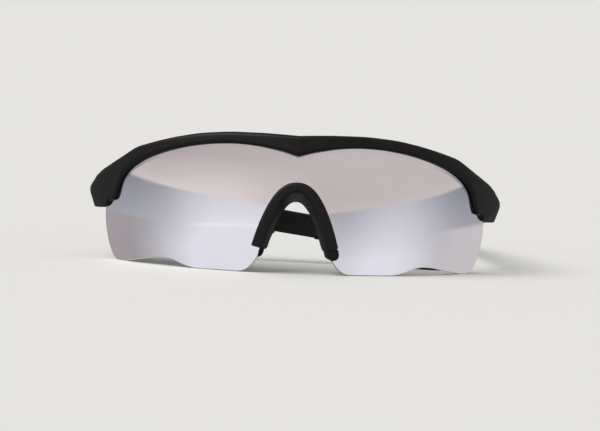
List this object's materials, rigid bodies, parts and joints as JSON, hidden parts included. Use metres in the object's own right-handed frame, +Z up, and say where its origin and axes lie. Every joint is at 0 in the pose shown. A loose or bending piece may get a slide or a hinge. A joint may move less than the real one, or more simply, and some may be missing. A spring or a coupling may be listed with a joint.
{
  "type": "sport sunglasses",
  "caption": "Wraparound sport sunglasses with a one-piece mirror shield, half-rim browline, clip-on nose piece and folding arms with rubber ear grips.",
  "frame": {"origin": "On the table under the middle of the bounding box: on the plane between the wearer's left and right, midway between the front of the browline and the tip of the open left arm.", "axes": "+Z up, -Y the way that the wearer looks, +X the wearer's left."},
  "size_m": [0.1426, 0.1664, 0.0457],
  "materials": {
    "silver_mirror": "silver mirror coating on a smoke-tinted polycarbonate shield",
    "matte_black_plastic": "moulded nylon, satin black",
    "black_rubber": "soft moulded rubber, matt black",
    "screw_steel": "bare steel",
    "insert_brass": "turned brass"
  },
  "bodies": {
    "front": {"front_frame": "matte_black_plastic", "shield_lens": "silver_mirror", "nose_clip": "matte_black_plastic", "nose_pad_left": "black_rubber", "nose_pad_right": "black_rubber", "hinge_screw_left": "screw_steel", "hinge_screw_right": "screw_steel", "hinge_insert_left": "insert_brass", "hinge_insert_right": "insert_brass"},
    "arm_left": {"temple_arm_left": "matte_black_plastic", "ear_grip_left": "black_rubber"},
    "arm_right": {"temple_arm_right": "matte_black_plastic", "ear_grip_right": "black_rubber"}
  },
  "joints": [
    {"name": "left_hinge", "type": "hinge", "parent": "front", "child": "arm_left", "pos_m": [0.06628, -0.03477, 0.02246], "axis": [0, 0, -1], "range_deg": [-83, 0]},
    {"name": "right_hinge", "type": "hinge", "parent": "front", "child": "arm_right", "pos_m": [-0.06628, -0.03477, 0.02246], "axis": [0, 0, 1], "range_deg": [0, 90]}
  ]
}
